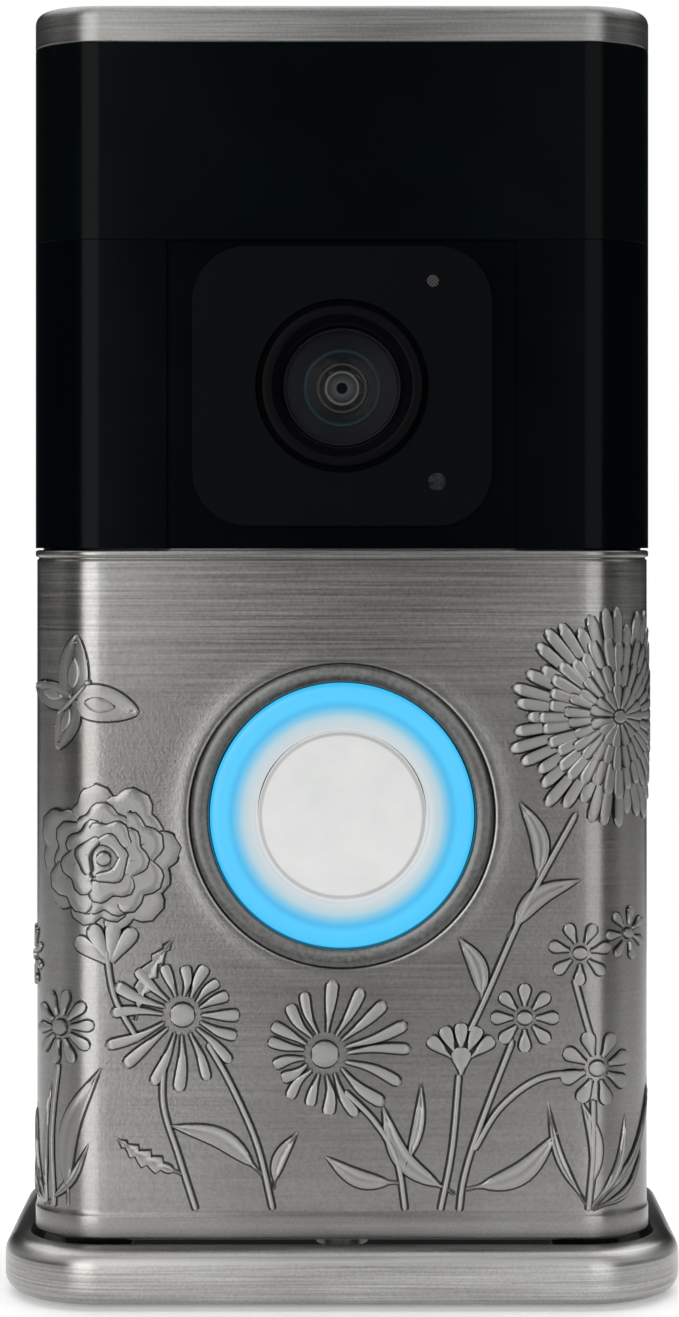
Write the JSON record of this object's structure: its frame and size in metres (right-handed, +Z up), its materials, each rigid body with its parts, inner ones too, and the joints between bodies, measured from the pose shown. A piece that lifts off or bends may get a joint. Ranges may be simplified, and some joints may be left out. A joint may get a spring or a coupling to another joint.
{
  "type": "video doorbell",
  "caption": "Battery video doorbell: camera above, lit push button in a relief metal faceplate below, on a wall bracket with a base collar.",
  "frame": {"origin": "centre of the bounding box's bottom, under the base pad", "axes": "+Z up along the body, -Y out of the front with the camera and button, +X to the right seen from the front; the wall plane is at +Y"},
  "size_m": [0.068, 0.031, 0.1286],
  "materials": {
    "pad_rubber": "matt foamed rubber",
    "collar_metal": "satin brushed, aged",
    "bracket_plastic": "fine moulded grain",
    "screw_steel": "turned",
    "housing_plastic": "fine moulded grain",
    "chassis_plastic": "smooth moulded",
    "seal_rubber": "smooth silicone",
    "cap_metal": "satin",
    "window_black": "gloss",
    "fascia_black": "gloss",
    "camera_plate_black": "gloss",
    "lens_trim": "anodised satin",
    "cover_glass": "clear coated",
    "barrel_black": "matt",
    "coated_glass": "coated, teal",
    "inner_glass": "coated, gold",
    "filter_glass": "clear tinted",
    "sensor_chip": "iridescent",
    "board_green": "solder mask",
    "connector_ivory": "moulded",
    "ir_led_clear": "clear epoxy",
    "sensor_lens": "clear",
    "mesh_metal": "woven mesh",
    "can_metal": "plated",
    "lens_white": "translucent",
    "light_ring": "diffusing",
    "light_guide": "clear",
    "led_white": "phosphor",
    "flex_amber": "polyimide",
    "shield_tin": "tinned",
    "antenna_brass": "bright",
    "speaker_frame": "moulded",
    "connector_black": "moulded",
    "contact_gold": "plated",
    "faceplate_metal": "antique, brushed, relief",
    "bezel_metal": "satin",
    "button_white": "satin",
    "plunger_plastic": "moulded",
    "battery_plastic": "fine moulded grain",
    "battery_cap_plastic": "moulded",
    "cell_foil": "laminated foil",
    "latch_plastic": "moulded, ribbed",
    "setup_orange": "moulded"
  },
  "bodies": {
    "mount": {"base_pad": "pad_rubber", "base_collar": "collar_metal", "wall_bracket": "bracket_plastic", "collar_screws": "screw_steel"},
    "unit": {"rear_housing": "housing_plastic", "front_chassis": "chassis_plastic", "housing_gasket": "seal_rubber", "housing_screws": "screw_steel", "top_cap": "cap_metal", "sensor_window": "window_black", "camera_fascia": "fascia_black", "camera_plate": "camera_plate_black", "lens_trim_ring": "lens_trim", "lens_cover_glass": "cover_glass", "lens_barrel": "barrel_black", "lens_front_element": "coated_glass", "lens_inner_element": "inner_glass", "ir_filter": "filter_glass", "image_sensor": "sensor_chip", "camera_board": "board_green", "camera_connector": "connector_ivory", "ir_led_board": "board_green", "ir_leds": "ir_led_clear", "light_sensor_lens": "sensor_lens", "mic_mesh": "mesh_metal", "microphone": "can_metal", "motion_sensor": "can_metal", "motion_sensor_lens": "lens_white", "motion_sensor_board": "board_green", "light_ring": "light_ring", "light_guide": "light_guide", "button_leds": "led_white", "led_ring_board": "board_green", "button_flex": "flex_amber", "tactile_switch": "can_metal", "main_board": "board_green", "rf_shield": "shield_tin", "wifi_antenna": "antenna_brass", "speaker": "speaker_frame", "speaker_gasket": "seal_rubber", "battery_sleeve": "chassis_plastic", "contact_block": "connector_black", "contact_pins": "contact_gold", "terminal_block": "connector_black", "setup_switch": "can_metal"},
    "faceplate": {"faceplate_shell": "faceplate_metal", "faceplate_carrier": "chassis_plastic", "button_bezel": "bezel_metal"},
    "button": {"button_cap": "button_white", "button_plunger": "plunger_plastic", "button_seal": "seal_rubber"},
    "battery": {"battery_case": "battery_plastic", "battery_cap": "battery_cap_plastic", "battery_cell": "cell_foil", "battery_board": "board_green"},
    "battery_latch": {"battery_latch": "latch_plastic"},
    "setup_button": {"setup_button": "setup_orange"},
    "security_screw": {"security_screw": "screw_steel"},
    "terminal_screw_left": {"terminal_screw_left": "screw_steel"},
    "terminal_screw_right": {"terminal_screw_right": "screw_steel"}
  },
  "joints": [
    {"name": "unit_lift", "type": "slide", "parent": "mount", "child": "unit", "axis": [0, 0, 1], "range_m": [0, 0.12]},
    {"name": "faceplate_off", "type": "slide", "parent": "unit", "child": "faceplate", "axis": [0, -1, 0], "range_m": [0, 0.035]},
    {"name": "button_press", "type": "slide", "parent": "unit", "child": "button", "axis": [0, 1, 0], "range_m": [0, 0.0008], "stiffness_N_per_m": 1500, "springref_m": -0.0005},
    {"name": "battery_slide", "type": "slide", "parent": "unit", "child": "battery", "axis": [0, 0, -1], "range_m": [0, 0.075]},
    {"name": "latch_press", "type": "slide", "parent": "battery", "child": "battery_latch", "axis": [0, 1, 0], "range_m": [0, 0.0012], "stiffness_N_per_m": 800, "springref_m": -0.0004},
    {"name": "setup_button_press", "type": "slide", "parent": "unit", "child": "setup_button", "axis": [0, -1, 0], "range_m": [0, 0.0006], "stiffness_N_per_m": 1000, "springref_m": -0.0004},
    {"name": "security_screw_turn", "type": "hinge", "parent": "unit", "child": "security_screw", "pos_m": [0, -0.0072, 0.01], "axis": [0, 0, 1], "continuous": true},
    {"name": "terminal_screw_left_turn", "type": "hinge", "parent": "unit", "child": "terminal_screw_left", "pos_m": [-0.0055, 0.01, 0.103], "axis": [0, 1, 0], "continuous": true},
    {"name": "terminal_screw_right_turn", "type": "hinge", "parent": "unit", "child": "terminal_screw_right", "pos_m": [0.0055, 0.01, 0.103], "axis": [0, 1, 0], "continuous": true}
  ]
}
